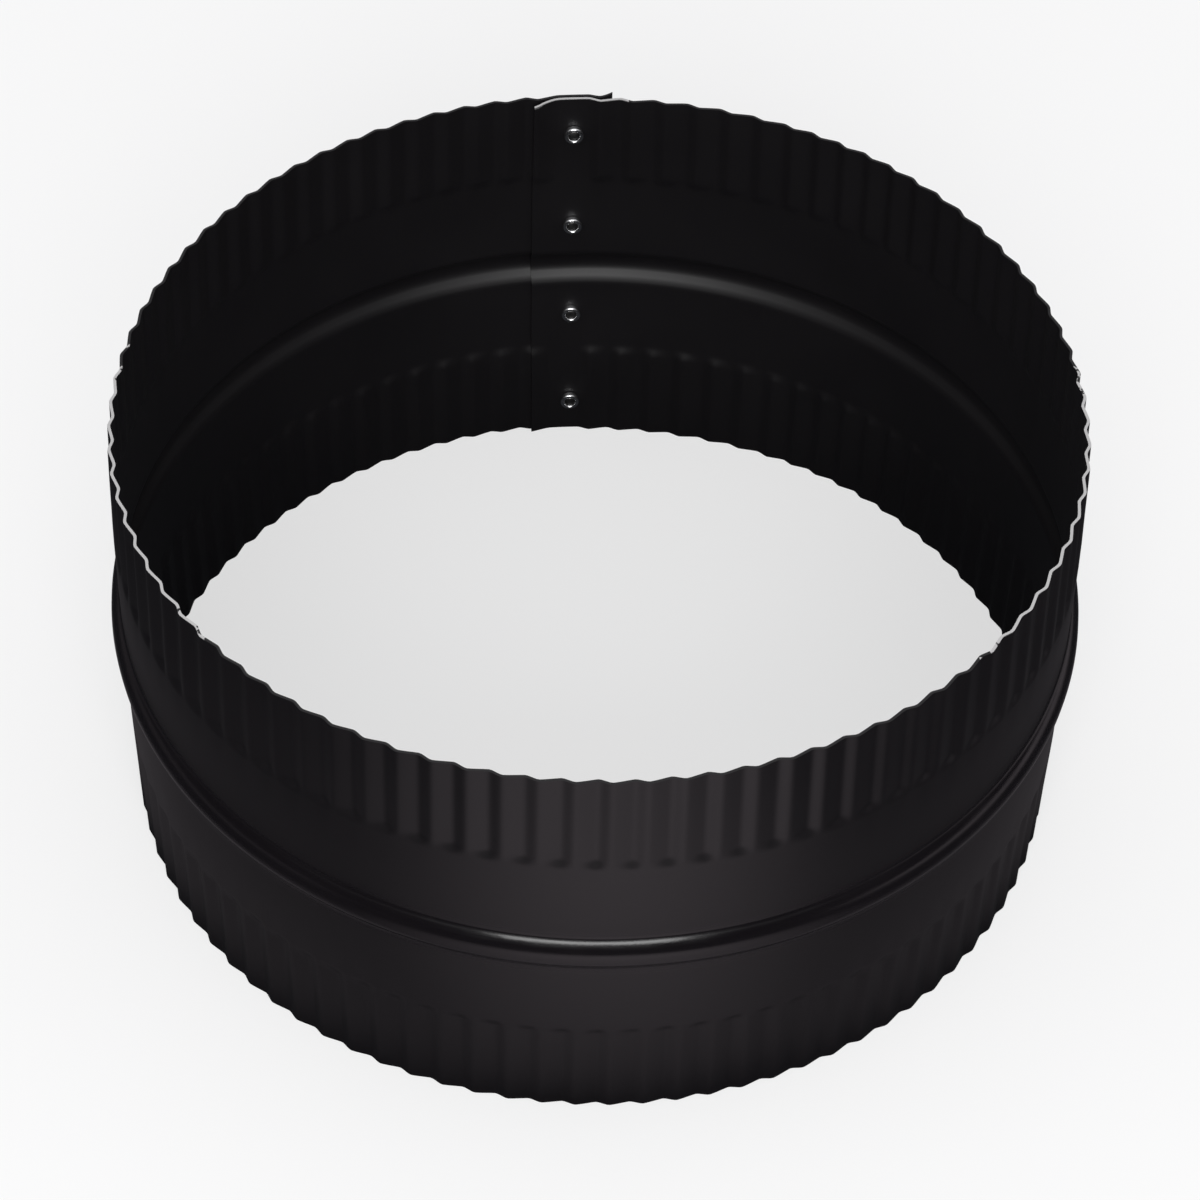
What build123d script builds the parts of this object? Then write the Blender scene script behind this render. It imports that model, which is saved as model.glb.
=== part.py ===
from build123d import *
from math import atan, cos, degrees, radians, sin
import os

# Double crimped stove pipe connector, in millimetres.
# One painted sheet is rolled into a ring, lapped at the back and closed by four
# blind rivets. Both ends are crimped to slip into plain pipes, and a bead rolled
# round the middle stops them. +Z is up, the lower rim stands on Z = 0 and the
# axis of the ring is the Z axis. The lap seam is at the back, on the +Y side.

os.makedirs("parts", exist_ok=True)

# The rolled sheet
rim_height = 101.6
band_radius = 101.0
sheet = 0.6

# The bead, as seen on the outer face
bead_middle = 50.8
bead_rise = 2.15
bead_half_width = 5.1
bead_steps = 4

# The crimped ends
flute_count = 90
flute_depth = 0.9
steep_share = 0.36
rim_taper = 0.5
run_out = 2.6
upper_crimp = 22.3
lower_crimp = 24.1
first_crest = 0.35

# The lap seam. Bearings are in degrees, measured from +X towards +Y. Both plies
# end at a distance from the line of rivets.
rivet_bearing = 94.25
lap_step = 0.95
ease_turn = 42.4
outer_ply_edge = 8.55
inner_ply_edge = 9.25
outer_corner_flare = 1.3
inner_corner_flare = 2.0

# The blind rivets and the mandrel ends left in them. Two rivets stand by the rims
# and two stand by the bead. They are small, so they are drawn with flat sides.
rivet_upper_edge = 10.0
rivet_bead_gap = 13.7
rivet_lower_edge = 9.3
shank_radius = 1.6
hole_clearance = 0.05
head_radius = 3.2
head_rise = 0.9
head_edge = 0.3
crown_radius = 1.9
bore_radius = 1.0
cup_radius = 2.25
cup_depth = 1.7
cup_mouth = 1.5
cup_lip = 0.35
seat_gap = 0.05
mandrel_clearance = 0.05
mandrel_recess = 0.4
round_sides = 20

# Values that follow from the sizes above
hole_radius = shank_radius + hole_clearance
bead_tilt = 2 * atan(bead_rise / bead_half_width)
bead_arc = bead_half_width / sin(bead_tilt)
full_turn = 360
flute_pitch = full_turn / flute_count
lower_plain = lower_crimp + run_out
upper_plain = rim_height - upper_crimp - run_out
ease_offset = lap_step / (2 * (1 - cos(radians(ease_turn / 2))))
lap_radius = band_radius - lap_step
outer_ply_end = rivet_bearing - degrees(outer_ply_edge / band_radius)
inner_ply_end = rivet_bearing + degrees(inner_ply_edge / lap_radius)
path_end = inner_ply_end + full_turn
lap_start = outer_ply_end + full_turn
ease_start = lap_start - ease_turn
ease_middle = lap_start - ease_turn / 2
rivet_heights = [
    rim_height - rivet_upper_edge,
    bead_middle + rivet_bead_gap,
    bead_middle - rivet_bead_gap,
    rivet_lower_edge,
]


def direction(bearing):
    return Vector(cos(radians(bearing)), sin(radians(bearing)), 0)


# In plan the sheet follows four circular arcs, each tangent to the next: the round
# body, two arcs that ease the sheet inwards, and the inner ply of the lap.
# Each arc has its centre, the radius of its outer face and its first bearing.
# The sheet runs straight from one turn of the flutes to the next, which keeps the
# mesh light and stays within 0.07 mm of the arcs.
plan_arcs = [
    (Vector(0, 0, 0), band_radius, outer_ply_end),
    (direction(ease_start) * ease_offset, band_radius - ease_offset, ease_start),
    (direction(lap_start) * -ease_offset, lap_radius + ease_offset, ease_middle),
    (Vector(0, 0, 0), lap_radius, lap_start),
]
plan_joints = [arc[2] for arc in plan_arcs] + [path_end]


def sheet_point(bearing, inset, height=0):
    """A point on the sheet, inset towards the inside from its outer face."""
    centre, radius, start = [arc for arc in plan_arcs if arc[2] <= bearing + 1e-9][-1]
    return centre + direction(bearing) * (radius - inset) + Vector(0, 0, height)


def stations():
    """Bearings along the sheet where a flute turns, each with its share of depth."""
    turns = {}
    steps = range(int(outer_ply_end // flute_pitch) - 1, int(path_end // flute_pitch) + 2)
    for step in steps:
        crest = first_crest + step * flute_pitch
        valley = crest + (1 - steep_share) * flute_pitch
        turns[crest] = 0.0
        # The crimp leaves one flute out where the rivet heads sit.
        if not 0 < (rivet_bearing - crest) % full_turn < flute_pitch:
            turns[valley] = 1.0
    ordered = sorted(turns)
    for joint in plan_joints:
        before = [b for b in ordered if b <= joint][-1]
        after = [b for b in ordered if b > joint][0]
        share = (joint - before) / (after - before)
        turns[joint] = turns[before] + share * (turns[after] - turns[before])
    # A turn that falls very close to a joint of the plan gives way to it.
    clear = [b for b in turns if b in plan_joints or min(abs(b - j) for j in plan_joints) > 0.3]
    return [(b, turns[b]) for b in sorted(clear) if outer_ply_end <= b <= path_end]


def corner_flare(bearing):
    """How far the loose corners of the lap stand off at the upper rim."""
    if bearing < rivet_bearing:
        return -outer_corner_flare * ((rivet_bearing - bearing) / (rivet_bearing - outer_ply_end)) ** 4
    past = bearing - full_turn - rivet_bearing
    return inner_corner_flare * max(0, past / (inner_ply_end - rivet_bearing)) ** 4


def polygon(points):
    return Face(Wire.make_polygon(points, close=True))


def cut(turns, height, drop=0, flare=0, thickness=sheet):
    """The cut through the sheet at one height, with a straight edge between turns."""
    loop = []
    for inset, order in ((0, turns), (thickness, turns[::-1])):
        for bearing, share in order:
            depth = inset + drop + share * flute_depth + flare * corner_flare(bearing)
            loop.append(sheet_point(bearing, depth, height))
    return polygon(loop)


def without_valleys(turns):
    """The turns that carry on into the plain band."""
    return [(bearing, 0) for bearing, share in turns if share < 1]


def flute_ends(turns, root, plain):
    """The length where the flutes run out. A flat triangle closes each valley."""
    faces = [cut(turns, root), cut(without_valleys(turns), plain)]
    for inset in (0, sheet):
        low = [sheet_point(bearing, inset + share * flute_depth, root) for bearing, share in turns]
        high = [sheet_point(bearing, inset, plain) for bearing, _ in turns]
        for first in range(len(turns) - 1):
            second = first + 1
            if turns[first][1] == 1:
                faces.append(polygon([low[first], low[second], high[second]]))
                faces.append(polygon([high[first - 1], low[first], high[second]]))
            else:
                faces.append(polygon([low[first], low[second], high[first]]))
                if turns[second][1] < 1:
                    faces.append(polygon([high[first], low[second], high[second]]))
    for bearing, share in (turns[0], turns[-1]):
        depth = share * flute_depth
        faces.append(
            polygon(
                [
                    sheet_point(bearing, depth, root),
                    sheet_point(bearing, depth + sheet, root),
                    sheet_point(bearing, sheet, plain),
                    sheet_point(bearing, 0, plain),
                ]
            )
        )
    return Solid(Shell(faces))


def bead_cuts(turns):
    """Cuts from the lower flutes over the bead, which is an arc, to the upper flutes."""
    cuts = [cut(turns, lower_plain)]
    for step in range(-bead_steps, bead_steps + 1):
        tilt = bead_tilt * step / bead_steps
        rise = bead_rise - bead_arc * (1 - cos(tilt))
        thickness = sheet if abs(step) == bead_steps else sheet / cos(tilt)
        cuts.append(cut(turns, bead_middle + bead_arc * sin(tilt), -rise, 0, thickness))
    return cuts + [cut(turns, upper_plain)]


def turned_body(height, outline, mode=Mode.ADD):
    """A round body about the axis of a rivet, from distances and radii."""
    across = direction(rivet_bearing)
    sections = []
    for distance, radius in outline:
        middle = across * distance + Vector(0, 0, height)
        with BuildSketch(Plane(origin=middle, x_dir=(0, 0, 1), z_dir=across)) as section:
            RegularPolygon(radius, round_sides)
        sections.append(section.sketch.face())
    loft(sections, ruled=True, mode=mode)


with BuildPart() as band:
    # The two crimped ends, each from its rim to where the flutes run out
    turns = stations()
    for rim, root, plain, flare in (
        (rim_height, rim_height - upper_crimp, upper_plain, 1),
        (0, lower_crimp, lower_plain, 0),
    ):
        loft([cut(turns, rim, rim_taper, flare), cut(turns, root)], ruled=True)
        add(flute_ends(turns, root, plain))

    # The plain band and its bead
    loft(bead_cuts(without_valleys(turns)), ruled=True)

    # One row of holes through both plies for the rivets
    for height in rivet_heights:
        turned_body(height, [(0, hole_radius), (band_radius + bead_rise, hole_radius)], Mode.SUBTRACT)


def crest_drop(height):
    """How far the crest line of a crimp has come in at this height."""
    above = (height - (rim_height - upper_crimp)) / upper_crimp
    below = (lower_crimp - height) / lower_crimp
    return rim_taper * max(0, above, below)


def rivet_seats(height):
    """Distances from the axis to the faces that a rivet grips."""
    chord = 1 - cos(radians(flute_pitch / 2))
    middle = rim_height / 2
    towards_middle = height + (head_radius if height < middle else -head_radius)
    towards_rim = height - (cup_radius if height < middle else -cup_radius)
    head_seat = band_radius - crest_drop(towards_middle) + seat_gap
    cup_seat = (lap_radius - sheet) * (1 - chord) - crest_drop(towards_rim) - seat_gap
    return head_seat, cup_seat


with BuildPart() as seam_rivets:
    for height in rivet_heights:
        head_seat, cup_seat = rivet_seats(height)
        top = head_seat + head_rise
        mouth = cup_seat - cup_depth
        edge = head_seat + head_edge
        turned_body(height, [(head_seat, head_radius), (edge, head_radius), (top, crown_radius)])
        turned_body(height, [(cup_seat, shank_radius), (head_seat, shank_radius)])
        turned_body(height, [(mouth, cup_mouth + cup_lip), (cup_seat, cup_radius)])
        bore = [(mouth, cup_mouth), (mouth + cup_depth, bore_radius), (top, bore_radius)]
        turned_body(height, bore, Mode.SUBTRACT)

with BuildPart() as rivet_mandrels:
    for height in rivet_heights:
        head_seat, cup_seat = rivet_seats(height)
        mouth = cup_seat - cup_depth
        stem = bore_radius - mandrel_clearance
        head = cup_mouth - mandrel_clearance
        sunk = mandrel_recess / cup_depth * (head - stem)
        end = mouth + mandrel_recess
        tip = head_seat + head_rise - mandrel_recess
        turned_body(height, [(end, head - sunk), (mouth + cup_depth, stem), (tip, stem)])

for name, piece in (("band", band), ("seam_rivets", seam_rivets), ("rivet_mandrels", rivet_mandrels)):
    piece.part.label = name
    export_step(piece.part, f"parts/{name}.step")
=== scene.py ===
# %% [markdown]
# # Stove pipe connector
# The object is a short steel ring that joins two stove pipes. One painted sheet is rolled
# round, lapped at the back and riveted. Both ends are crimped into fine flutes, and a bead
# is rolled round the middle. The CAD model holds the sizes. This scene gives it its finish.

# %% Load the CAD model
import math

import bpy
from mathutils import Matrix, Vector


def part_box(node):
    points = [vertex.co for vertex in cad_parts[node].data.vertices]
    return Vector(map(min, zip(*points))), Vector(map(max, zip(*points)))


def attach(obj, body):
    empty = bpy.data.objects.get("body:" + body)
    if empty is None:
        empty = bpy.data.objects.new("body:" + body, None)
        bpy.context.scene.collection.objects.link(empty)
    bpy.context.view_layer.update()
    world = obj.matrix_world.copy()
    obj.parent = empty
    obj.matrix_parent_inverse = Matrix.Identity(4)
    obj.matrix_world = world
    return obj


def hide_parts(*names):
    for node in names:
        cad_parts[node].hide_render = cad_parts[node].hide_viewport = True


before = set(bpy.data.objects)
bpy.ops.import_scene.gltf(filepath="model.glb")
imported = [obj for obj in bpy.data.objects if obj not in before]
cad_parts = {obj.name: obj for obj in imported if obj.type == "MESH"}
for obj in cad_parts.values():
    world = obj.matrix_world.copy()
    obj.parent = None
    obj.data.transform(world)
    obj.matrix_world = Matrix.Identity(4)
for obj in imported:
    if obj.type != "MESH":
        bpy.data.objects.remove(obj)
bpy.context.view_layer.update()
print("CAD nodes", sorted(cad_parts))

# %% [markdown]
# ## Sizes
# The outer size of the sheet is read from the CAD model, so the two cannot drift apart.
# The rest are the same sizes that the CAD source has. Only the creases beside the bead, the
# slight unevenness of the wall and the first crest of the lower flutes are set here, from
# the photograph. Lengths are in metres, as Blender has them, and bearings are in degrees
# from +X towards +Y. The lap seam is at +Y.

# %% Sizes of the sheet, the bead and the crimps
MM = 0.001
band_low, band_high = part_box("band")
rim_height = band_high.z - band_low.z
bead_rise = 2.15 * MM
band_radius = (band_high.x - band_low.x) / 2 - bead_rise
sheet = 0.6 * MM
bead_middle = rim_height / 2
bead_half_width = 5.1 * MM
upper_crease = 0.8 * MM
lower_crease = 3.0 * MM
flute_count = 90
flute_depth = 0.9 * MM
steep_share = 0.36
rim_taper = 0.5 * MM
run_out = 2.6 * MM
unevenness = 0.25 * MM
upper_crimp = 22.3 * MM
lower_crimp = 24.1 * MM
upper_first_crest = 0.35
lower_first_crest = 1.0167
print("sheet radius", round(band_radius / MM, 2), "mm, height", round(rim_height / MM, 2), "mm")

# %% Sizes of the lap seam
rivet_bearing = 94.25
lap_step = 0.95 * MM
lap_radius = band_radius - lap_step
outer_ply_edge = 8.55 * MM
inner_ply_edge = 9.25 * MM
outer_ply_end = rivet_bearing - math.degrees(outer_ply_edge / band_radius)
inner_ply_end = rivet_bearing + math.degrees(inner_ply_edge / lap_radius)
ease_turn = 42.4
outer_corner_flare = 1.3 * MM
inner_corner_flare = 2.0 * MM
turn = 360
path_end = inner_ply_end + turn
lap_start = outer_ply_end + turn
print("lap", round(inner_ply_end - outer_ply_end, 2), "degrees")

# %% [markdown]
# ## A way to write rules as nodes
# The shape of the sheet follows a rule: its distance from the axis depends only on the
# bearing and the height. It could be worked out point by point in Python, or the mesh could
# be pushed about with modifiers. Geometry Nodes can hold the rule itself, with its sizes as
# inputs that can still be turned, but long sums of Math nodes are hard to read. This small
# class lets the script write them as plain arithmetic.

# %% Arithmetic that makes Math nodes
class Field:
    """A value in a node tree. Sums of fields make Math nodes."""

    def __init__(self, tree, socket):
        self.tree = tree
        self.socket = socket

    def maths(self, operation, *values):
        node = self.tree.nodes.new("ShaderNodeMath")
        node.operation = operation
        for place, value in enumerate(values):
            if isinstance(value, Field):
                self.tree.links.new(value.socket, node.inputs[place])
            else:
                node.inputs[place].default_value = value
        return Field(self.tree, node.outputs[0])

    def __add__(self, other):
        return self.maths("ADD", self, other)

    def __sub__(self, other):
        return self.maths("SUBTRACT", self, other)

    def __rsub__(self, other):
        return self.maths("SUBTRACT", other, self)

    def __mul__(self, other):
        return self.maths("MULTIPLY", self, other)

    def __truediv__(self, other):
        return self.maths("DIVIDE", self, other)

    __radd__ = __add__
    __rmul__ = __mul__

    def above(self, other):
        return self.maths("GREATER_THAN", self, other)

    def below(self, other):
        return self.maths("LESS_THAN", self, other)

    def least(self, other):
        return self.maths("MINIMUM", self, other)

    def most(self, other):
        return self.maths("MAXIMUM", self, other)

    def root(self):
        return self.maths("SQRT", self)

    def floor(self):
        return self.maths("FLOOR", self)

    def size(self):
        return self.maths("ABSOLUTE", self)

    def sign(self):
        return self.maths("SIGN", self)

    def arctan(self):
        """The angle in degrees that has this tangent."""
        return self.maths("ARCTANGENT", self) * (180 / math.pi)

    def power(self, exponent):
        return self.maths("POWER", self, exponent)

    def cos(self):
        return self.maths("COSINE", self * (math.pi / 180))

    def sin(self):
        return self.maths("SINE", self * (math.pi / 180))

    def unit(self):
        """Held between 0 and 1."""
        return self.most(0).least(1)

    def eased(self):
        """Held between 0 and 1, with a soft start and a soft end."""
        part = self.unit()
        return part * part * (3 - 2 * part)


def pick(condition, when_true, when_false):
    return condition * when_true + (1 - condition) * when_false


# %% Small helpers for building trees
def new_tree(name, inputs, outputs):
    """A Geometry Nodes tree with named inputs. Returns the tree and its inputs as fields."""
    tree = bpy.data.node_groups.new(name, "GeometryNodeTree")
    for label, kind, value in inputs:
        socket = tree.interface.new_socket(name=label, in_out="INPUT", socket_type=kind)
        if value is not None:
            socket.default_value = value
    for label, kind in outputs:
        tree.interface.new_socket(name=label, in_out="OUTPUT", socket_type=kind)
    entry = tree.nodes.new("NodeGroupInput")
    return tree, {label: Field(tree, entry.outputs[label]) for label, _, _ in inputs}


def join(tree, source, node, place):
    """Links a field or a socket to an input of a node."""
    socket = source.socket if isinstance(source, Field) else source
    tree.links.new(socket, node.inputs[place])


def store_value(tree, geometry, name, value):
    node = tree.nodes.new("GeometryNodeStoreNamedAttribute")
    node.data_type = "FLOAT"
    node.domain = "POINT"
    node.inputs["Name"].default_value = name
    join(tree, geometry, node, "Geometry")
    join(tree, value, node, "Value")
    return node.outputs["Geometry"]


def run_tree(name, tree, sizes):
    """Runs a tree once on a new object and keeps the result as a plain mesh."""
    piece = bpy.data.objects.new(name, bpy.data.meshes.new(name))
    bpy.context.scene.collection.objects.link(piece)
    modifier = piece.modifiers.new("rule", "NODES")
    modifier.node_group = tree
    for socket in tree.interface.items_tree:
        if socket.in_out == "INPUT" and socket.name in sizes:
            modifier[socket.identifier] = sizes[socket.name]
    made = piece.evaluated_get(bpy.context.evaluated_depsgraph_get())
    plain = bpy.data.meshes.new_from_object(made)
    piece.modifiers.remove(modifier)
    piece.data = plain
    plain.name = name
    plain.calc_loop_triangles()
    print(name, len(plain.loop_triangles), "triangles")
    return piece


# %% [markdown]
# ## The rule of the sheet
# On the real object a flat strip is rolled round, so seen from above it is a circle that
# eases inwards by one sheet before its end slips under its start. Four arcs that touch
# without a kink give that path. The crimping rollers then press the ends into flutes, and
# the beading rollers push the middle out. It could be modelled as a tube and dented flute by
# flute. Here each step of the making is one sum instead, and the distance from the axis is
# their total, so every flute keeps the stated size and the two plies of the lap nest.

# %% The inputs that hold the sizes of the sheet
sheet_sizes = [
    ("Radius", "NodeSocketFloat", band_radius),
    ("Thickness", "NodeSocketFloat", sheet),
    ("Bead rise", "NodeSocketFloat", bead_rise),
    ("Bead half width", "NodeSocketFloat", bead_half_width),
    ("Flute depth", "NodeSocketFloat", flute_depth),
    ("Rim taper", "NodeSocketFloat", rim_taper),
    ("Unevenness", "NodeSocketFloat", unevenness),
    ("Seed", "NodeSocketFloat", 0.0),
]
print("sizes of the sheet:", [label for label, _, _ in sheet_sizes])

# %% The path of the sheet in plan
ease_offset = lap_step / (2 * (1 - math.cos(math.radians(ease_turn / 2))))


def cosine(bearing):
    return math.cos(math.radians(bearing))


def sine(bearing):
    return math.sin(math.radians(bearing))


def plan_path(bearing, outer_radius):
    """Centre and radius of the arc that this bearing lies on."""
    easing = bearing.above(lap_start - ease_turn)
    settling = bearing.above(lap_start - ease_turn / 2)
    lapped = bearing.above(lap_start)
    first = lap_start - ease_turn
    radius = (
        outer_radius
        - easing * ease_offset
        + settling * (2 * ease_offset - lap_step)
        - lapped * ease_offset
    )
    centre = []
    for wave in (cosine, sine):
        inner, outer = wave(first) * ease_offset, -wave(lap_start) * ease_offset
        centre.append(easing * inner + settling * (outer - inner) - lapped * outer)
    return centre[0], centre[1], radius


# %% [markdown]
# ## The bead
# Two rollers press the bead out all round, as a stop for the pipes. In section it is a round
# crest between two small hollow creases, tighter above than below. A bevel could round such
# a ridge, but three arcs that touch without a kink give both its true rise and the tilt of
# its face, and the tilt is needed to give the sheet its thickness there.

# %% The bead
def bead(given):
    """How far the bead stands out, and how much its face tilts up or down."""
    flank = (given["Bead rise"] / given["Bead half width"]).arctan() * 2
    both_radii = given["Bead half width"] / flank.sin()
    from_middle = given["Height"] - bead_middle
    distance = from_middle.size()
    crease = upper_crease + from_middle.below(0) * (lower_crease - upper_crease)
    crest = both_radii - crease
    on_crest = distance.below(crest * flank.sin())
    on_crease = distance.below(given["Bead half width"]) - on_crest
    level = (crest * crest - distance * distance).most(0).root()
    to_edge = given["Bead half width"] - distance
    dip = (crease * crease - to_edge * to_edge).most(0).root()
    rise = on_crest * (given["Bead rise"] - crest + level) + on_crease * (crease - dip)
    tilt = on_crest * distance / crest + on_crease * to_edge / crease
    return rise, tilt * from_middle.sign()


# %% [markdown]
# ## The flutes
# Toothed rollers crimp each end, so it gets narrower and slips into the next pipe. A flute
# has a gentle flank and a steep one, and its valley runs out in a short slope. A repeated
# object would need its joints hidden. A wave that repeats with the bearing has no joints,
# and white noise, read once for each flute, makes no two of them quite alike.

# %% One flute after another
flute_pitch = turn / flute_count
valley_place = 1 - steep_share
flank_sharpness = 0.72
smallest_flute = 0.84


def flute_wave(given, first_crest):
    """Depth of one flute from 0 at its crest to 1 in its valley, with a random size."""
    tree = given["Bearing"].tree
    place = (given["Bearing"] - first_crest) / flute_pitch
    number = place.floor()
    phase = place - number
    gentle = phase / valley_place
    steep = (1 - phase) / steep_share
    sharp = gentle.least(steep)
    wave = sharp * flank_sharpness + sharp.eased() * (1 - flank_sharpness)

    # The plies are left flat where the rivets sit
    land = math.floor((rivet_bearing - first_crest) / flute_pitch)
    first_land = (number - land).size().below(0.5)
    second_land = (number - land - flute_count).size().below(0.5)

    # The first crest is another number at each end, so the two ends differ
    noise = tree.nodes.new("ShaderNodeTexWhiteNoise")
    noise.noise_dimensions = "1D"
    join(tree, number + first_crest * 10 + given["Seed"], noise, "W")
    size = smallest_flute + (1 - smallest_flute) * Field(tree, noise.outputs["Value"])
    return wave * size * (1 - first_land) * (1 - second_land)


# %% How a crimped end runs out into the plain wall
run_out_firmness = 0.5


def crimp(given, rim, root, plain, first_crest):
    """How far one crimped end has gone in."""
    share = (given["Height"] - plain) / (root - plain)
    run = share.unit() * run_out_firmness + share.eased() * (1 - run_out_firmness)
    taper = ((given["Height"] - root) / (rim - root)).most(0)
    depth = run * given["Flute depth"] * flute_wave(given, first_crest)
    return taper * given["Rim taper"] + depth


# %% [markdown]
# ## The loose corners of the lap
# Above the last rivet nothing holds the two plies together. At the top rim the corner of the
# outer ply stands out a little and that of the inner ply bends in. They could be pulled by
# hand in edit mode. A steep power of the distance from the rivets does the same, and leaves
# the sheet by the rivets where it was.

# %% The corners of the lap
flare_steepness = 4


def corner_flare(bearing):
    """The loose corners at the upper rim. One stands out and the other bends in."""
    before = (rivet_bearing - bearing) / (rivet_bearing - outer_ply_end)
    after = (bearing - turn - rivet_bearing) / (inner_ply_end - rivet_bearing)
    outward = before.most(0).power(flare_steepness) * outer_corner_flare
    inward = after.most(0).power(flare_steepness) * inner_corner_flare
    return inward - outward


# %% [markdown]
# ## The rule as one node group
# A rolled wall is never perfectly round, and the light running along it shows that. Noise
# over the whole ring adds dents of a quarter of a millimetre at most. The sums then go into
# one node group, so that the faces, the rims and the cut ends all follow the same rule and
# meet exactly.

# %% One node group that places a point of the sheet
dent_scale = 3.1
dents_up = 18


def sheet_point_group():
    places = [(label, "NodeSocketFloat", None) for label in ("Bearing", "Height", "Inset")]
    tree, given = new_tree(
        "sheet_point", places + sheet_sizes, [("Position", "NodeSocketVector")]
    )
    bearing, height = given["Bearing"], given["Height"]
    centre_x, centre_y, radius = plan_path(bearing, given["Radius"])
    rise, tilt = bead(given)
    upper_root = rim_height - upper_crimp
    inward = crimp(given, rim_height, upper_root, upper_root - run_out, upper_first_crest)
    inward += crimp(given, 0, lower_crimp, lower_crimp + run_out, lower_first_crest)
    flare_share = ((height - upper_root) / upper_crimp).unit()
    inward += flare_share * corner_flare(bearing)

    spot = tree.nodes.new("ShaderNodeCombineXYZ")
    join(tree, bearing.cos(), spot, "X")
    join(tree, bearing.sin(), spot, "Y")
    join(tree, height * dents_up + given["Seed"], spot, "Z")
    noise = tree.nodes.new("ShaderNodeTexNoise")
    noise.inputs["Scale"].default_value = dent_scale
    noise.inputs["Detail"].default_value = 1.0
    join(tree, spot.outputs[0], noise, "Vector")
    inward += Field(tree, noise.outputs["Fac"]) * given["Unevenness"]

    level = (1 - tilt * tilt).most(0).root()
    thickness = given["Inset"] * given["Thickness"]
    reach = radius + rise - inward - thickness * level
    place = tree.nodes.new("ShaderNodeCombineXYZ")
    join(tree, centre_x + reach * bearing.cos(), place, "X")
    join(tree, centre_y + reach * bearing.sin(), place, "Y")
    join(tree, height - thickness * tilt, place, "Z")
    leave = tree.nodes.new("NodeGroupOutput")
    join(tree, place.outputs[0], leave, "Position")
    return tree


sheet_point = sheet_point_group()
print("rule of the sheet:", len(sheet_point.nodes), "nodes")

# %% [markdown]
# ## The band
# The sheet has two faces, two rims and two cut ends. One grid makes both faces and both
# rims: its rows run up the outer face, over the rim and down the inner face. Rows lie close
# together where the shape turns and far apart where it is straight. Two narrow grids close
# the cut ends. A Solidify modifier could give a single face its wall, but the rule already
# knows the inner face, and the rows can carry notes for the paint: how far each point is
# from an edge, and which face it is on.

# %% Heights of the rows
into_crimp = 1 * MM
past_run_out = 0.3 * MM
past_bead = 0.2 * MM
into_bead = 0.8 * MM


def row_heights():
    """Heights up one face, close together where the sheet bends."""
    upper_root = rim_height - upper_crimp
    bead_low, bead_top = bead_middle - bead_half_width, bead_middle + bead_half_width
    parts = [
        (0, lower_crimp - into_crimp, 5),
        (lower_crimp - into_crimp, lower_crimp + run_out + past_run_out, 7),
        (lower_crimp + run_out + past_run_out, bead_low - past_bead, 2),
        (bead_low - past_bead, bead_low + into_bead, 3),
        (bead_low + into_bead, bead_top - into_bead, 8),
        (bead_top - into_bead, bead_top + past_bead, 3),
        (bead_top + past_bead, upper_root - run_out - past_run_out, 2),
        (upper_root - run_out - past_run_out, upper_root + into_crimp, 7),
        (upper_root + into_crimp, rim_height, 5),
    ]
    heights = [0.0]
    for low, top, steps in parts:
        heights += [low + (top - low) * (step + 1) / steps for step in range(steps)]
    return heights


heights = row_heights()
row_steps = len(heights) - 1
columns_per_flute = 12
column_pitch = flute_pitch / columns_per_flute
columns = round((path_end - outer_ply_end) / column_pitch) + 1
print(len(heights), "heights,", columns, "columns")


# %% A grid whose points know where they belong
straight_enough = 0.01 * MM


def shares_of_grid(tree, across, up):
    """A flat grid whose two shares run from 0 to 1."""
    grid = tree.nodes.new("GeometryNodeMeshGrid")
    for label, value in (("Size X", 1), ("Size Y", 1), ("Vertices X", across), ("Vertices Y", up)):
        grid.inputs[label].default_value = value
    split = tree.nodes.new("ShaderNodeSeparateXYZ")
    join(tree, tree.nodes.new("GeometryNodeInputPosition").outputs[0], split, 0)
    first = Field(tree, split.outputs["X"]) + 0.5
    second = Field(tree, split.outputs["Y"]) + 0.5
    return grid.outputs["Mesh"], first, second


def height_curve(tree, step):
    """The height that belongs to a row, from 0 to the rim."""
    curve = tree.nodes.new("ShaderNodeFloatCurve")
    line = curve.mapping.curves[0]
    corners = [
        (row, height)
        for row, height in enumerate(heights)
        if 0 < row < row_steps
        and abs(heights[row + 1] - 2 * height + heights[row - 1]) > straight_enough
    ]
    for row, height in corners:
        line.points.new(row / row_steps, height / rim_height)
    for point in line.points:
        point.handle_type = "VECTOR"
    curve.mapping.update()
    join(tree, step / row_steps, curve, "Value")
    return Field(tree, curve.outputs["Value"]) * rim_height


# %% Moving a grid onto the sheet
def place_sheet(given, geometry, bearing, height, inset):
    """Moves the points of a grid onto the sheet and notes how far each is from an edge."""
    tree = bearing.tree
    rule = tree.nodes.new("GeometryNodeGroup")
    rule.node_tree = sheet_point
    for label, value in (("Bearing", bearing), ("Height", height), ("Inset", inset)):
        join(tree, value, rule, label)
    for label, _, _ in sheet_sizes:
        join(tree, given[label], rule, label)
    to_rim = height.least(rim_height - height)
    to_end = (bearing - outer_ply_end).least(path_end - bearing) * (band_radius * math.pi / 180)
    geometry = store_value(tree, geometry, "to_edge", to_rim.least(to_end))
    geometry = store_value(tree, geometry, "height", height)
    geometry = store_value(tree, geometry, "bearing", bearing)
    geometry = store_value(tree, geometry, "inside", inset)
    move = tree.nodes.new("GeometryNodeSetPosition")
    join(tree, geometry, move, "Geometry")
    join(tree, rule.outputs["Position"], move, "Position")
    return move.outputs["Geometry"]


# %% The tree of the band
weld_distance = 0.002 * MM


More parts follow.
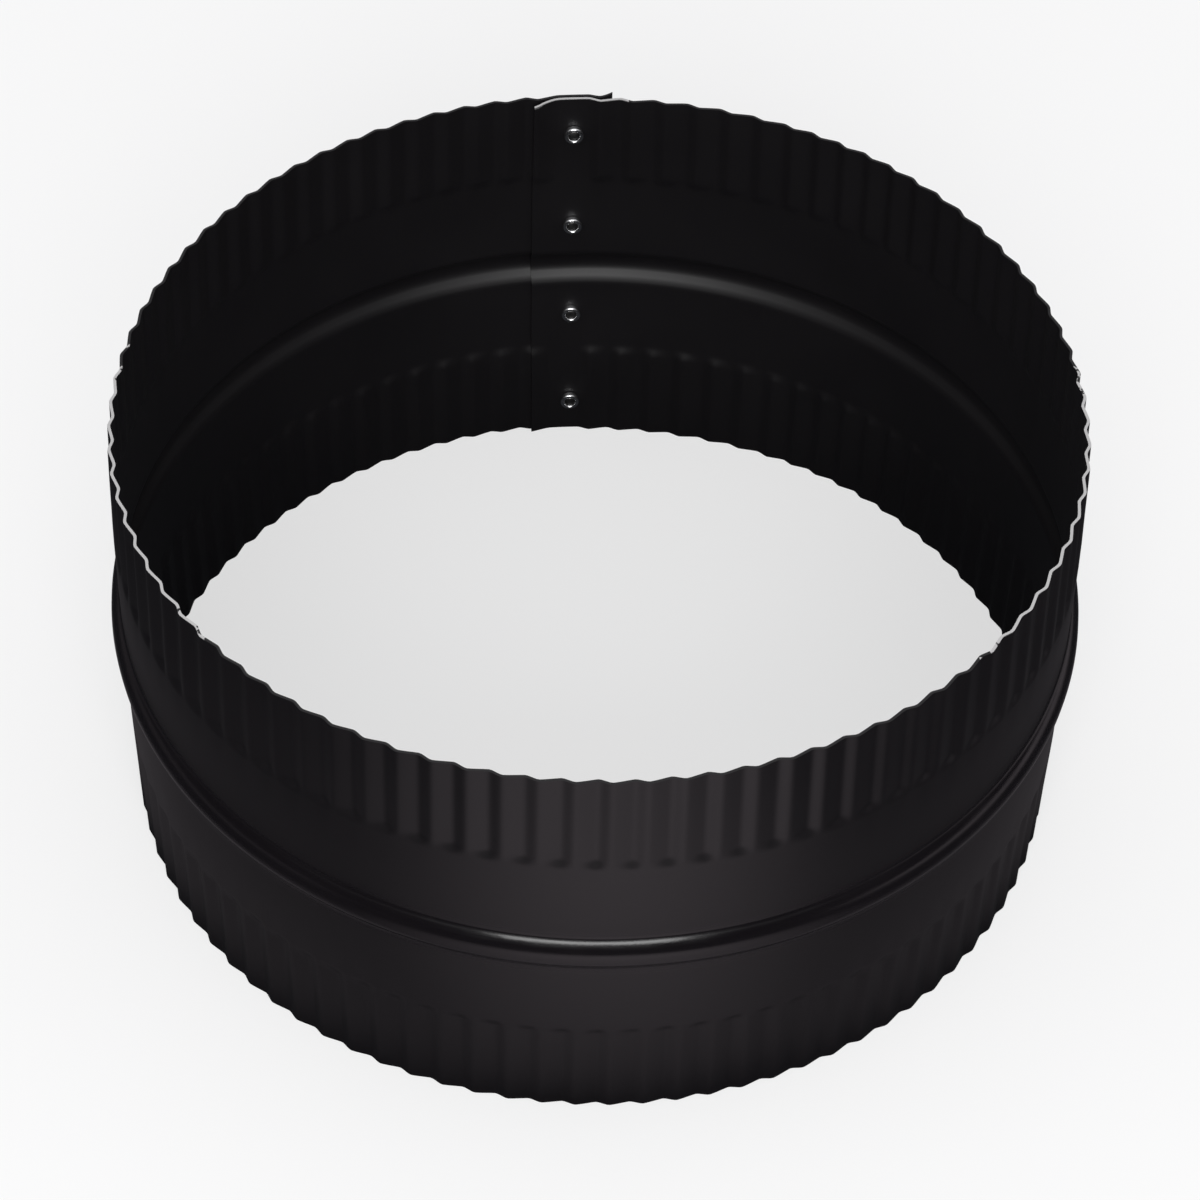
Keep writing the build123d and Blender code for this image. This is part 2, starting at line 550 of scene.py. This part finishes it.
def band_tree():
    ends = [
        ("First bearing", "NodeSocketFloat", outer_ply_end),
        ("Last bearing", "NodeSocketFloat", path_end),
        ("Paint", "NodeSocketMaterial", None),
    ]
    tree, given = new_tree(
        "rolled_band", ends + sheet_sizes, [("Geometry", "NodeSocketGeometry")]
    )
    start, end = given["First bearing"], given["Last bearing"]
    gather = tree.nodes.new("GeometryNodeJoinGeometry")

    # Both faces and both rims
    rows = 2 * row_steps + 2
    mesh, along, around = shares_of_grid(tree, columns, rows + 1)
    row = (around * rows + 0.5).floor()
    rising = row.below(row_steps + 0.5)
    step = pick(rising, row, (2 * row_steps + 1 - row).most(0))
    inset = (1 - rising) * row.below(rows - 0.5)
    bearing = start + along * (end - start)
    skin = place_sheet(given, mesh, bearing, height_curve(tree, step), inset)
    join(tree, skin, gather, 0)

    # The two cut ends. Each lies at one bearing, noted at every point of its grid.
    for bearing, flipped in ((start, False), (end, True)):
        mesh, across, up = shares_of_grid(tree, 2, row_steps + 1)
        row = (up * row_steps + 0.5).floor()
        cap = place_sheet(given, mesh, bearing + up * 0, height_curve(tree, row), across)
        if flipped:
            flip = tree.nodes.new("GeometryNodeFlipFaces")
            join(tree, cap, flip, 0)
            cap = flip.outputs[0]
        join(tree, cap, gather, 0)

    weld = tree.nodes.new("GeometryNodeMergeByDistance")
    weld.inputs["Distance"].default_value = weld_distance
    join(tree, gather.outputs[0], weld, "Geometry")
    whole = tree.nodes.new("GeometryNodeRealizeInstances")
    join(tree, weld.outputs[0], whole, 0)
    painted = tree.nodes.new("GeometryNodeSetMaterial")
    join(tree, whole.outputs[0], painted, "Geometry")
    join(tree, given["Paint"], painted, "Material")
    leave = tree.nodes.new("NodeGroupOutput")
    join(tree, painted.outputs[0], leave, 0)
    return tree


# %% [markdown]
# ## Paint and metal
# The pipe has black stove paint on it: a thin, satin coat with a fine grain. The rivets are
# plain aluminium and the mandrel ends in them are steel. A painted picture could give the
# grain, but it would have to be unwrapped onto the ring and would repeat. Noise read from
# the object's own coordinates needs neither. What more than one place could use is a group.

# %% Helpers for shader groups
def shader_group(name, inputs, outputs):
    tree = bpy.data.node_groups.new(name, "ShaderNodeTree")
    for label, value in inputs:
        socket = tree.interface.new_socket(
            name=label, in_out="INPUT", socket_type="NodeSocketFloat"
        )
        socket.default_value = value
    for label, kind in outputs:
        tree.interface.new_socket(name=label, in_out="OUTPUT", socket_type=kind)
    entry = tree.nodes.new("NodeGroupInput")
    leave = tree.nodes.new("NodeGroupOutput")
    return tree, {label: Field(tree, entry.outputs[label]) for label, _ in inputs}, leave


def texture(tree, scale, detail, stretch=(1, 1, 1)):
    """Noise in the frame of the object, in units of one metre."""
    frame_of_object = tree.nodes.new("ShaderNodeTexCoord")
    stretched = tree.nodes.new("ShaderNodeMapping")
    stretched.inputs["Scale"].default_value = stretch
    join(tree, frame_of_object.outputs["Object"], stretched, "Vector")
    noise = tree.nodes.new("ShaderNodeTexNoise")
    noise.inputs["Scale"].default_value = scale
    noise.inputs["Detail"].default_value = detail
    join(tree, stretched.outputs[0], noise, "Vector")
    return Field(tree, noise.outputs["Fac"])


def ramp(tree, value, low, high):
    """A value stretched so that low gives 0 and high gives 1."""
    node = tree.nodes.new("ShaderNodeMapRange")
    join(tree, value, node, "Value")
    node.inputs["From Min"].default_value = low
    node.inputs["From Max"].default_value = high
    return Field(tree, node.outputs["Result"])


# %% [markdown]
# ## The grain of the paint
# Sprayed paint dries with a fine orange peel. Geometry that fine would need millions of
# triangles, so it is a bump. Two sizes of noise keep it from looking like a screen, and a
# slow third one gives the cloudy difference between one patch of paint and the next.

# %% The group for the grain
grain_group, grain_in, grain_out = shader_group(
    "paint_grain",
    [("Strength", 0.25), ("Distance", 0.05 * MM)],
    [("Normal", "NodeSocketVector"), ("Cloud", "NodeSocketFloat")],
)
fine = texture(grain_group, 1900, 2.0)
coarse = texture(grain_group, 420, 2.0)
bump = grain_group.nodes.new("ShaderNodeBump")
join(grain_group, grain_in["Strength"], bump, "Strength")
join(grain_group, grain_in["Distance"], bump, "Distance")
join(grain_group, fine * 0.6 + coarse * 0.4, bump, "Height")
join(grain_group, bump.outputs["Normal"], grain_out, "Normal")
join(grain_group, texture(grain_group, 38, 3.0), grain_out, "Cloud")

# %% [markdown]
# ## Bare rim: painted highlights and a bare corner
# The upper rim is bare steel at two places, the sides to the left and right of the camera, which
# is a painted highlight where the rim catches the light, and at the corner of the inner ply. The
# bare steel could be a separate strip of mesh, but the bare places have no clean border. A mask
# from the distance to the edge, broken up by noise, chips it as real paint chips.

# %% Reading what the band noted at its points
def attribute(tree, name):
    node = tree.nodes.new("ShaderNodeAttribute")
    node.attribute_name = name
    return Field(tree, node.outputs["Fac"])


# %% The group for the bare rim, painted highlights and a bare corner
# Bearings of the two sides where the rim is bare steel, as a painted highlight where it catches
# the light
left_glint_side = 197
right_glint_side = 344
corner_turn = 2
rim_face = 0.5 * MM
glint_and_wear_group, glint_and_wear_in, glint_and_wear_out = shader_group(
    "edge_glint_and_wear", [("Reach", 0.35 * MM), ("Chips", 0.5)], [("Mask", "NodeSocketFloat")]
)
bearing = attribute(glint_and_wear_group, "bearing")
near = (1 - attribute(glint_and_wear_group, "to_edge") / glint_and_wear_in["Reach"]).unit()
facing_glint_sides = (bearing - left_glint_side).cos().most((bearing - right_glint_side).cos())
lap_corner = bearing.above(lap_start - corner_turn)
at_top = attribute(glint_and_wear_group, "height").above(rim_height - rim_face)
chips = texture(glint_and_wear_group, 330, 4.0) - 0.5
# The sides are a painted highlight of bare steel; the corner of the lap is bare as well
on_glint_sides = ramp(glint_and_wear_group, facing_glint_sides + chips * 0.12, 0.9, 0.93)
rubbed_and_sheen = ramp(glint_and_wear_group, on_glint_sides.most(lap_corner) + chips * glint_and_wear_in["Chips"], 0.5, 0.6)
bare = ramp(glint_and_wear_group, near + chips, 0.6, 0.8)
join(glint_and_wear_group, rubbed_and_sheen * at_top * bare, glint_and_wear_out, "Mask")

# %% [markdown]
# ## The burnished bead
# The rollers press the paint of the bead flat, so it shines more than the wall, in streaks
# that run round the ring. A second material would show a border. A mask that fades out over
# 8 mm from the middle of the bead only lowers the roughness.

# %% The group for the burnished bead
burnish_group, burnish_in, burnish_out = shader_group(
    "burnish",
    [("Reach", 8 * MM)],
    [("Mask", "NodeSocketFloat"), ("Inner face", "NodeSocketFloat")],
)
inner_face = attribute(burnish_group, "inside")
from_bead = (attribute(burnish_group, "height") - bead_middle).size() / burnish_in["Reach"]
streaks = texture(burnish_group, 110, 4.0, (1, 1, 14))
rubbed_and_sheen = ((1 - from_bead) * 1.8).eased() * (1 - inner_face)
join(burnish_group, rubbed_and_sheen * (0.85 + 0.9 * (streaks - 0.5)), burnish_out, "Mask")
join(burnish_group, inner_face, burnish_out, "Inner face")


# %% [markdown]
# ## The three materials
# Stove paint is nearly black and has no metal in it, so what shows is the gloss on top of a
# dark colour. Aluminium and steel are metals and take their colour from what they mirror.
# Each could be one flat value. Small noise in the colour and the roughness breaks up the
# reflections as handling does. The steel of the mandrel ends is made nearly black, as painted
# shade in the hollow of each rivet.

# %% Helpers for materials
def new_material(name, color, metallic, roughness):
    material = bpy.data.materials.new(name)
    material.use_nodes = True
    shader = material.node_tree.nodes["Principled BSDF"]
    shader.inputs["Base Color"].default_value = (*color, 1)
    shader.inputs["Metallic"].default_value = metallic
    shader.inputs["Roughness"].default_value = roughness
    print("material", name)
    return material, material.node_tree, shader


def use_group(tree, group, values):
    node = tree.nodes.new("ShaderNodeGroup")
    node.node_tree = group
    for label, value in values.items():
        node.inputs[label].default_value = value
    return node


def blend_colors(tree, share, first, second):
    node = tree.nodes.new("ShaderNodeMix")
    node.data_type = "RGBA"
    node.inputs["A"].default_value = (*first, 1)
    node.inputs["B"].default_value = (*second, 1)
    join(tree, share, node, "Factor")
    return node.outputs["Result"]


# %% Black stove paint
dark_patch, light_patch = (0.0036, 0.0029, 0.0037), (0.0056, 0.0045, 0.0055)
# Bare steel of the rim: a painted highlight at the two sides, and bare at the corner of the lap
bare_steel_and_glint = (0.82, 0.81, 0.80, 1)
black_paint, tree, shader = new_material("black_paint", (0.005, 0.005, 0.005), 0.0, 0.4)
grain = use_group(tree, grain_group, {"Strength": 0.25, "Distance": 0.05 * MM})
glint_and_wear = use_group(tree, glint_and_wear_group, {"Reach": 0.35 * MM, "Chips": 0.5})
burnish = use_group(tree, burnish_group, {"Reach": 8 * MM})
cloud = Field(tree, grain.outputs["Cloud"])
mask = Field(tree, glint_and_wear.outputs["Mask"])
paint_color = tree.nodes.new("ShaderNodeMix")
paint_color.data_type = "RGBA"
join(tree, mask, paint_color, "Factor")
join(tree, blend_colors(tree, cloud, dark_patch, light_patch), paint_color, "A")
paint_color.inputs["B"].default_value = bare_steel_and_glint
join(tree, paint_color.outputs["Result"], shader, "Base Color")
join(tree, mask, shader, "Metallic")

# The paint is glossier on the bead and duller inside the pipe
smooth = Field(tree, burnish.outputs["Mask"])
dull = 0.1 * Field(tree, burnish.outputs["Inner face"])
join(tree, 0.33 + 0.1 * cloud + dull - 0.24 * smooth, shader, "Roughness")
join(tree, grain.outputs["Normal"], shader, "Normal")

# %% Aluminium of the rivets
rivet_aluminium, tree, shader = new_material("rivet_aluminium", (0.7, 0.7, 0.7), 1.0, 0.3)
marks = texture(tree, 1400, 3.0)
join(tree, blend_colors(tree, marks, (0.7, 0.7, 0.71), (0.9, 0.9, 0.91)), shader, "Base Color")
join(tree, 0.12 + 0.2 * marks, shader, "Roughness")

# %% Steel of the mandrel ends
mandrel_steel, tree, shader = new_material("mandrel_steel", (0.3, 0.29, 0.28), 1.0, 0.4)
marks = texture(tree, 1100, 3.0)
# Steel far darker than steel is: painted shade in the hollow of each rivet, in two tones mixed by
# noise
shaded_steel, less_shaded_steel = (0.05, 0.05, 0.05), (0.16, 0.155, 0.15)
join(tree, blend_colors(tree, marks, shaded_steel, less_shaded_steel), shader, "Base Color")
join(tree, 0.3 + 0.3 * marks, shader, "Roughness")

# %% [markdown]
# ## Making the band
# The tree runs once and its result is kept as a plain mesh, which rides on the part's one
# body and stands for the CAD node of the band. Its normals are smooth, apart from edges of
# more than 50 degrees: those are the real rims and cut ends, and they stay crisp.

# %% Make the band
rule = band_tree()
band = run_tree("rolled_sheet", rule, {"Paint": black_paint})
low = [min(v.co[i] for v in band.data.vertices) / MM for i in range(3)]
high = [max(v.co[i] for v in band.data.vertices) / MM for i in range(3)]
print("band from", [round(v, 2) for v in low], "to", [round(v, 2) for v in high])
band.data.shade_smooth()
band.data.set_sharp_from_angle(angle=math.radians(50))
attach(band, "root")
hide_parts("band")

# %% [markdown]
# ## The blind rivets
# A blind rivet is a hollow aluminium tube with a wide flange. A steel mandrel is pulled
# through it until its head rolls the far end of the tube into a ring, and then the mandrel
# snaps off inside. A cylinder with bevels could stand for it, but head, shank and rolled
# end are one outline, so that outline is turned about the rivet's axis. The rolled end is
# drawn a quarter of a millimetre smaller than in the CAD source, as it looks in the
# photograph.

# %% Sizes of the rivets
rivet_upper_edge = 10.0 * MM
rivet_bead_gap = 13.7 * MM
rivet_lower_edge = 9.3 * MM
shank_radius = 1.6 * MM
head_radius = 3.2 * MM
head_rise = 0.9 * MM
bore_radius = 1.0 * MM
cup_radius = 2.25 * MM
cup_depth = 1.45 * MM
cup_mouth = 1.25 * MM
clearance = 0.05 * MM
mandrel_recess = 0.4 * MM
rivet_heights = [
    rim_height - rivet_upper_edge,
    bead_middle + rivet_bead_gap,
    bead_middle - rivet_bead_gap,
    rivet_lower_edge,
]
round_steps = 48
print("rivets at", [round(height / MM, 1) for height in rivet_heights], "mm")


# %% Turning an outline
def arc(centre, radius, first, last, steps):
    """Points on an arc. The angles are in degrees."""
    angles = [first + (last - first) * step / steps for step in range(steps + 1)]
    return [(centre[0] + radius * cosine(a), centre[1] + radius * sine(a)) for a in angles]


def turned(outline, height):
    """Points and faces of an outline turned about the axis of a rivet at this height."""
    points, faces = [], []
    count = len(outline)
    out = Vector((cosine(rivet_bearing), sine(rivet_bearing), 0))
    side = Vector((-out.y, out.x, 0))
    for step in range(round_steps):
        angle = 2 * math.pi * step / round_steps
        across = side * math.cos(angle) + Vector((0, 0, math.sin(angle)))
        for along, radius in outline:
            points.append(Vector((0, 0, height)) + out * along + across * radius)
    for step in range(round_steps):
        this, following = step * count, (step + 1) % round_steps * count
        for place in range(count):
            ahead = (place + 1) % count
            faces.append((this + place, following + place, following + ahead, this + ahead))
    return points, faces


# %% One piece for all rivets
def turned_piece(name, outline_at, material, node):
    """One mesh with the turned outline at each rivet."""
    points, faces = [], []
    for height in rivet_heights:
        more_points, more_faces = turned(outline_at(height), height)
        faces += [tuple(corner + len(points) for corner in face) for face in more_faces]
        points += more_points
    mesh = bpy.data.meshes.new(name)
    mesh.from_pydata(points, [], faces)
    mesh.materials.append(material)
    piece = bpy.data.objects.new(name, mesh)
    bpy.context.scene.collection.objects.link(piece)
    weld = piece.modifiers.new("weld", "WELD")
    weld.merge_threshold = 0.001 * MM
    made = piece.evaluated_get(bpy.context.evaluated_depsgraph_get())
    piece.data = bpy.data.meshes.new_from_object(made)
    piece.modifiers.clear()
    piece.data.name = name
    piece.data.shade_smooth()
    piece.data.set_sharp_from_angle(angle=math.radians(40))
    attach(piece, "root")
    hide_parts(node)
    print(name, len(piece.data.polygons), "faces")


# %% Where a rivet grips the two plies
def crest_drop(height):
    above = (height - (rim_height - upper_crimp)) / upper_crimp
    below = (lower_crimp - height) / lower_crimp
    return rim_taper * max(0, above, below)


def rivet_seats(height):
    """Distances from the axis to the outer face and the inner face under a rivet."""
    chord = 1 - math.cos(math.radians(flute_pitch / 2))
    way = 1 if height < rim_height / 2 else -1
    head_seat = band_radius - crest_drop(height + way * head_radius) + clearance
    cup_drop = crest_drop(height - way * cup_radius)
    cup_seat = (lap_radius - sheet) * (1 - chord) - cup_drop - clearance
    return head_seat, cup_seat


# %% Outline of a rivet
soft_edge = 0.12 * MM
flange_edge = 0.3 * MM
dome_rise = 0.6 * MM
dome_width = 1.9 * MM
dome_fullness = 2.4
dome_steps = 10


def rivet_outline(height):
    head_seat, cup_seat = rivet_seats(height)
    top = head_seat + head_rise
    mouth = cup_seat - cup_depth
    roll = 0.3 * MM
    lip = (cup_radius - cup_mouth) / 2
    dome = [
        (
            head_seat + flange_edge + dome_rise * (1 - share**dome_fullness),
            bore_radius + flange_edge + dome_width * share,
        )
        for share in [step / dome_steps for step in range(dome_steps + 1)]
    ]
    return (
        [(top - soft_edge, bore_radius), (top, bore_radius + soft_edge)]
        + dome
        + [(head_seat + soft_edge, head_radius), (head_seat, head_radius - 0.1 * MM)]
        + [(head_seat, shank_radius), (cup_seat, shank_radius)]
        + [(cup_seat, cup_radius - roll)]
        + arc((cup_seat - roll, cup_radius - roll), roll, 0, 90, 5)[1:]
        + arc((mouth + lip, cup_mouth + lip), lip, 90, 270, 10)
        + [(mouth + cup_depth / 2, cup_mouth)]
        + [(mouth + cup_depth / 2 + cup_mouth - bore_radius, bore_radius)]
    )


# %% Outline of a mandrel end, from its head to where it snapped
def mandrel_outline(height):
    head_seat, cup_seat = rivet_seats(height)
    mouth = cup_seat - cup_depth
    stem = bore_radius - clearance
    head = cup_mouth - clearance
    shoulder = mouth + cup_depth / 2 - clearance
    tip = head_seat + head_rise - mandrel_recess
    return [
        (mouth + 0.4 * MM, 0),
        (mouth + 0.4 * MM, head - 0.35 * MM),
        (mouth + 0.5 * MM, head - soft_edge),
        (mouth + 0.7 * MM, head),
        (shoulder, head),
        (shoulder + head - stem, stem),
        (tip - 0.1 * MM, stem),
        (tip, stem - soft_edge),
        (tip - soft_edge, 0),
    ]


# %% Make the rivets and the mandrel ends
turned_piece("blind_rivets", rivet_outline, rivet_aluminium, "seam_rivets")
turned_piece("mandrel_ends", mandrel_outline, mandrel_steel, "rivet_mandrels")

# %% [markdown]
# ## Floor, camera and light
# The picture looks down on the ring from well above it, through a long lens, against plain white.
# The paint is nearly black, so what the eye reads is the reflection in it: a pale floor in the
# upright walls, a dark far side where a face tilts up, and one soft lamp near the camera in the
# top of the bead. Many lamps could draw those lights. Here the floor glows for mirror rays only,
# with painted light in its pale places and painted shade in its dark ones, so one lamp does it and
# the plain light on the object is left alone.

# %% Floor
reach = 8.0
floor_mesh = bpy.data.meshes.new("floor")
floor_mesh.from_pydata(
    [(-reach, -reach, 0), (reach, -reach, 0), (reach, reach, 0), (-reach, reach, 0)],
    [],
    [(0, 1, 2, 3)],
)
floor = bpy.data.objects.new("floor", floor_mesh)
bpy.context.scene.collection.objects.link(floor)
floor_material, tree, shader = new_material("floor", (0.92, 0.92, 0.92), 0.0, 0.9)
shader.inputs["Specular IOR Level"].default_value = 0.0
floor_mesh.materials.append(floor_material)

# %% [markdown]
# ## What the paint mirrors
# For mirror rays the floor glows: a painted reflection of a table. In front of the ring it glows
# brightly, as a painted pool of light. Beside and inside the ring the glow is dim, as painted
# shade, and further off at the sides and behind it gets paler again. A picture of a studio could
# be mirrored, but a few distances from the ring describe this glow. The camera still sees the
# plain floor, which keeps the ring's shadow and turns white away from it.

# %% Where the mirrored floor glows, as painted light
place = tree.nodes.new("ShaderNodeSeparateXYZ")
join(tree, tree.nodes.new("ShaderNodeTexCoord").outputs["Object"], place, 0)
across, ahead = Field(tree, place.outputs["X"]), Field(tree, place.outputs["Y"])
from_axis = (across * across + ahead * ahead).root()
outside = ramp(tree, from_axis, band_radius, band_radius + 8 * MM).unit()

# A weak painted glow close to the ring, seen in reflections
glow = outside * (1 - ((from_axis - 0.11) / 0.06).eased()) * 0.1

# The painted pool of light in front, 0.32 m wide and 0.3 m deep
to_side, to_front = (across - 0.015) / 0.16, (ahead + 0.21) / 0.15
patch = outside * (1 - (to_side * to_side + to_front * to_front).root()).eased() * 0.72

# The painted glow of the table further off, at the sides and behind
aside = ((ahead + 0.9 * across.size() + 0.05) / 0.25).unit()
far_table = ((from_axis - 0.24) / 0.25).eased() * aside * (0.3 + 0.2 * across / from_axis)

# %% Two kinds of ray that see the floor in their own way
dim_table, lit_table = (0.02, 0.021, 0.024), (1.0, 0.89, 0.95)
# Mirror rays see these places glow: painted light on the table, and painted shade where it is dim
painted_table_glow = glow.most(patch).most(far_table)
mirrored = tree.nodes.new("ShaderNodeEmission")
join(tree, blend_colors(tree, painted_table_glow, dim_table, lit_table), mirrored, "Color")
rays = tree.nodes.new("ShaderNodeLightPath")
seen = tree.nodes.new("ShaderNodeMixShader")
join(tree, rays.outputs["Is Glossy Ray"], seen, 0)
join(tree, shader.outputs[0], seen, 1)
join(tree, mirrored.outputs[0], seen, 2)
white = tree.nodes.new("ShaderNodeEmission")
white.inputs["Color"].default_value = (1, 1, 1, 1)
backdrop = tree.nodes.new("ShaderNodeMixShader")
whiteness = 0.6 + 0.4 * ((from_axis - 0.35) / 0.7).eased()
join(tree, whiteness * Field(tree, rays.outputs["Is Camera Ray"]), backdrop, 0)
join(tree, seen.outputs[0], backdrop, 1)
join(tree, white.outputs[0], backdrop, 2)
join(tree, backdrop.outputs[0], tree.nodes["Material Output"], 0)
floor_material.cycles.emission_sampling = "NONE"

# %% [markdown]
# ## The camera
# The two rims and the bead are three ellipses in the photograph. They fix the lens and the
# place of the camera, and the lean of the picture gives its small roll. A camera aimed by a
# Track To constraint would have no roll, so its three axes are worked out here.

# %% Camera
camera_data = bpy.data.cameras.new("camera")
camera_data.sensor_width = 36
camera_data.lens = 121.1
camera_data.clip_end = 20
camera = bpy.data.objects.new("camera", camera_data)
bpy.context.scene.collection.objects.link(camera)
pitch, yaw, roll = 0.8194, 0.0017, 0.0257
view = Vector((math.sin(yaw) * math.cos(pitch), math.cos(yaw) * math.cos(pitch), -math.sin(pitch)))
right = Vector((math.cos(yaw), -math.sin(yaw), 0))
up = right.cross(view)
level_right = right * math.cos(roll) + up * math.sin(roll)
level_up = up * math.cos(roll) - right * math.sin(roll)
turned_axes = Matrix((level_right, level_up, -view)).transposed().to_4x4()
camera_place = (0, -0.5918, 0.6785)
camera.matrix_world = Matrix.Translation(camera_place) @ turned_axes
bpy.context.scene.camera = camera
print("camera looks down", round(math.degrees(pitch), 1), "degrees")

# %% [markdown]
# ## The world
# An even sky gives the plain light in which a colour renders about as written. The camera
# sees it as white. Mirror rays see a dark room with a pale ceiling, which is what gives a
# nearly black paint its depth. A sky picture could do the same with more to load.

# %% World
world = bpy.data.worlds.new("world")
bpy.context.scene.world = world
world.use_nodes = True
tree = world.node_tree
tree.nodes.clear()
sky = tree.nodes.new("ShaderNodeBackground")
sky.inputs["Color"].default_value = (0.75, 0.75, 0.76, 1)
direction = tree.nodes.new("ShaderNodeTexCoord")
split = tree.nodes.new("ShaderNodeSeparateXYZ")
join(tree, direction.outputs["Generated"], split, 0)
overhead = ramp(tree, Field(tree, split.outputs["Z"]), 0.35, 0.85)
mirrored = tree.nodes.new("ShaderNodeBackground")
walls, ceiling = (0.015, 0.015, 0.018), (0.9, 0.9, 0.92)
join(tree, blend_colors(tree, overhead, walls, ceiling), mirrored, "Color")
plain = tree.nodes.new("ShaderNodeBackground")
plain.inputs["Color"].default_value = (1, 1, 1, 1)
rays = tree.nodes.new("ShaderNodeLightPath")
by_mirror = tree.nodes.new("ShaderNodeMixShader")
join(tree, rays.outputs["Is Glossy Ray"], by_mirror, 0)
join(tree, sky.outputs[0], by_mirror, 1)
join(tree, mirrored.outputs[0], by_mirror, 2)
by_camera = tree.nodes.new("ShaderNodeMixShader")
join(tree, rays.outputs["Is Camera Ray"], by_camera, 0)
join(tree, by_mirror.outputs[0], by_camera, 1)
join(tree, plain.outputs[0], by_camera, 2)
leave = tree.nodes.new("ShaderNodeOutputWorld")
join(tree, by_camera.outputs[0], leave, 0)


# %% [markdown]
# ## The lamp
# One wide soft box stands over the camera and draws the bright line in the top of the bead.
# A small lamp would give a hard spark there, and a sun has no size that the bead could
# mirror. The lamp is weak, because the sky already lights the object.

# %% Lamp
lamp_data = bpy.data.lights.new("key", "AREA")
lamp_data.shape = "RECTANGLE"
lamp_data.size = 0.85
lamp_data.size_y = 0.6
lamp_data.energy = 12
lamp = bpy.data.objects.new("key", lamp_data)
bpy.context.scene.collection.objects.link(lamp)
lamp_place, aimed_at = Vector((0.02, -1.25, 0.85)), Vector((0, 0, 0.05))
lamp.location = lamp_place
lamp.rotation_euler = (aimed_at - lamp_place).to_track_quat("-Z", "Y").to_euler()
print("lamp", round((aimed_at - lamp_place).length, 2), "m away")

# %% Colour
bpy.context.scene.view_settings.view_transform = "Standard"
